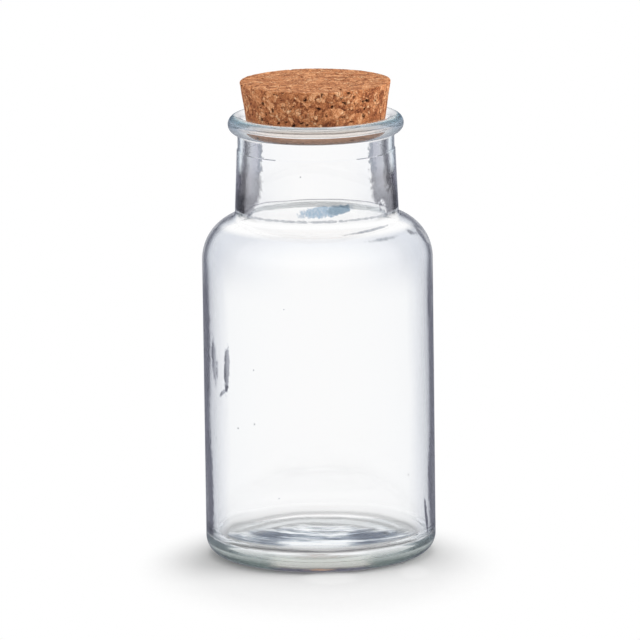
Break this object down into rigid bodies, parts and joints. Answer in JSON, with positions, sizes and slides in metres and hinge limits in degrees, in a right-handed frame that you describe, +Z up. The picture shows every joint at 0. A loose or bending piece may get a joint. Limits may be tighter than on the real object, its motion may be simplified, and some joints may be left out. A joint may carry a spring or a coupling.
{
  "type": "glass jar with cork stopper",
  "caption": "Clear glass storage jar with a straight round body, short wide neck, rolled lip and thick base, closed by a tapered cork stopper that lifts out.",
  "frame": {"origin": "centre of the jar's base, on the table", "axes": "+Z up the jar's axis, through the middle of the stopper; +X to the right and -Y to the front as pictured"},
  "size_m": [0.08, 0.08, 0.1664],
  "materials": {
    "glass": "clear soda-lime glass, fire-polished, with a faint blue-green tint in the thick lip and base",
    "cork": "agglomerated cork in pressed granules, matt, with small dark pores and a ground, slightly lighter top"
  },
  "bodies": {
    "jar": {"glass_jar": "glass"},
    "stopper": {"cork_stopper": "cork"}
  },
  "joints": [
    {"name": "stopper_lift", "type": "slide", "parent": "jar", "child": "stopper", "axis": [0, 0, 1], "range_m": [0, 0.03]}
  ]
}
